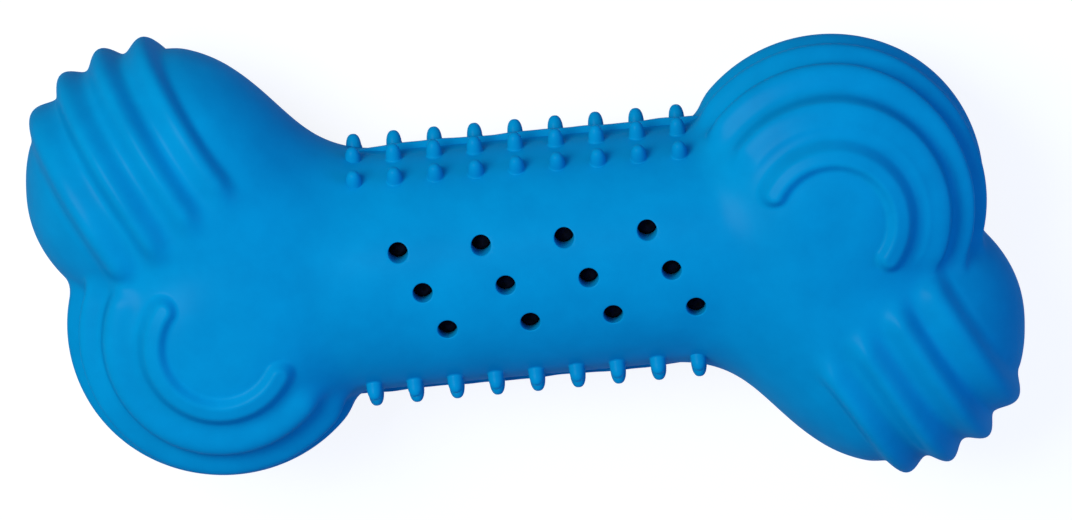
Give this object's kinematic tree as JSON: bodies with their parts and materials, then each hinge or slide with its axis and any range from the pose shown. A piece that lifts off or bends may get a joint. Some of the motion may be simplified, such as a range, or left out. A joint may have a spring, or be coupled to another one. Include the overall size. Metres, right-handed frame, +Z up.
{
  "type": "rubber chew bone",
  "caption": "Hollow rubber dog bone for chewing: bonded half shells with ridged and ringed lobes, rows of nubs and soaking holes in the shaft, round a sponge core.",
  "frame": {"origin": "middle of the bone's outline, on the level of the flats that its lobes rest on", "axes": "+X along the bone, +Y across it in the parting plane, +Z up through its thickness, square to the parting plane"},
  "size_m": [0.15, 0.0776, 0.0389],
  "materials": {
    "shell_rubber": "semi-matte moulded natural rubber, blue all through",
    "core_sponge": "dark open-cell sponge"
  },
  "bodies": {
    "root": {"upper_shell": "shell_rubber", "lower_shell": "shell_rubber", "sponge_core": "core_sponge"}
  },
  "joints": []
}
